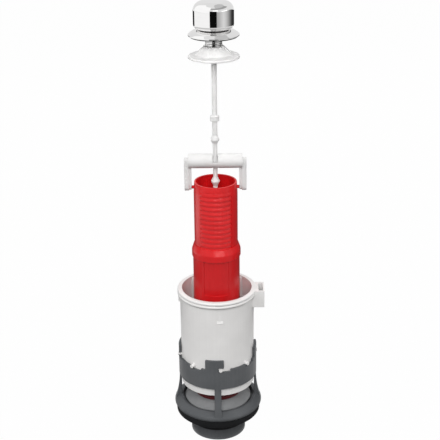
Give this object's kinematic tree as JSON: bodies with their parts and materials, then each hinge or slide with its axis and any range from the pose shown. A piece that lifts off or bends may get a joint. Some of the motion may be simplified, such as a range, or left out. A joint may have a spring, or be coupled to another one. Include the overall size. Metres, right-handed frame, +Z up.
{
  "type": "toilet flush valve",
  "caption": "Pull-knob cistern flush valve: chrome knob, beaded rod and bail lift a ribbed red overflow tube and seal inside a white chamber on a grey outlet cage.",
  "frame": {"origin": "centre of the outlet spigot's lower end, on the valve's axis", "axes": "+Z up along the valve's axis towards the pull knob; +X towards the side bracket; the hook side faces -Y"},
  "size_m": [0.0935, 0.091, 0.4536],
  "materials": {
    "grey_plastic": "moulded, satin",
    "white_plastic": "moulded, satin",
    "red_plastic": "moulded, glossy",
    "black_rubber": "moulded rubber",
    "grey_silicone": "soft silicone",
    "chrome": "bright plated"
  },
  "bodies": {
    "base": {"base_cage": "grey_plastic", "base_washer": "black_rubber"},
    "chamber": {"chamber": "white_plastic"},
    "plunger": {"stem_barrel": "red_plastic", "lock_collar": "red_plastic", "valve_seal": "grey_silicone", "seal_retainer": "red_plastic"},
    "overflow": {"overflow_tube": "red_plastic", "tube_seal_ring": "black_rubber"},
    "bail": {"bail": "white_plastic"},
    "pull": {"pull_rod": "white_plastic", "knob_shell": "chrome", "knob_core": "white_plastic"},
    "lid_fitting": {"escutcheon": "chrome", "guide_bush": "white_plastic", "lid_washer": "black_rubber"},
    "nut": {"cone_nut": "white_plastic"}
  },
  "joints": [
    {"name": "chamber_turn", "type": "hinge", "parent": "base", "child": "chamber", "pos_m": [0, 0, 0.09], "axis": [0, 0, 1], "range_deg": [0, 12]},
    {"name": "flush_lift", "type": "slide", "parent": "base", "child": "plunger", "axis": [0, 0, 1], "range_m": [0, 0.03]},
    {"name": "overflow_height", "type": "slide", "parent": "plunger", "child": "overflow", "axis": [0, 0, 1], "range_m": [-0.035, 0.012]},
    {"name": "bail_tilt", "type": "hinge", "parent": "overflow", "child": "bail", "pos_m": [0, 0, 0.2729], "axis": [1, 0, 0], "range_deg": [-50, 50]},
    {"name": "rod_swivel", "type": "hinge", "parent": "bail", "child": "pull", "pos_m": [0, 0, 0.2997], "axis": [0, 0, 1], "continuous": true},
    {"name": "fitting_slide", "type": "slide", "parent": "pull", "child": "lid_fitting", "axis": [0, 0, 1], "range_m": [-0.03, 0]},
    {"name": "nut_travel", "type": "slide", "parent": "lid_fitting", "child": "nut", "axis": [0, 0, 1], "range_m": [0, 0.008]}
  ],
  "couplings": [
    {"joint": "fitting_slide", "follows": "flush_lift", "ratio": -1}
  ]
}
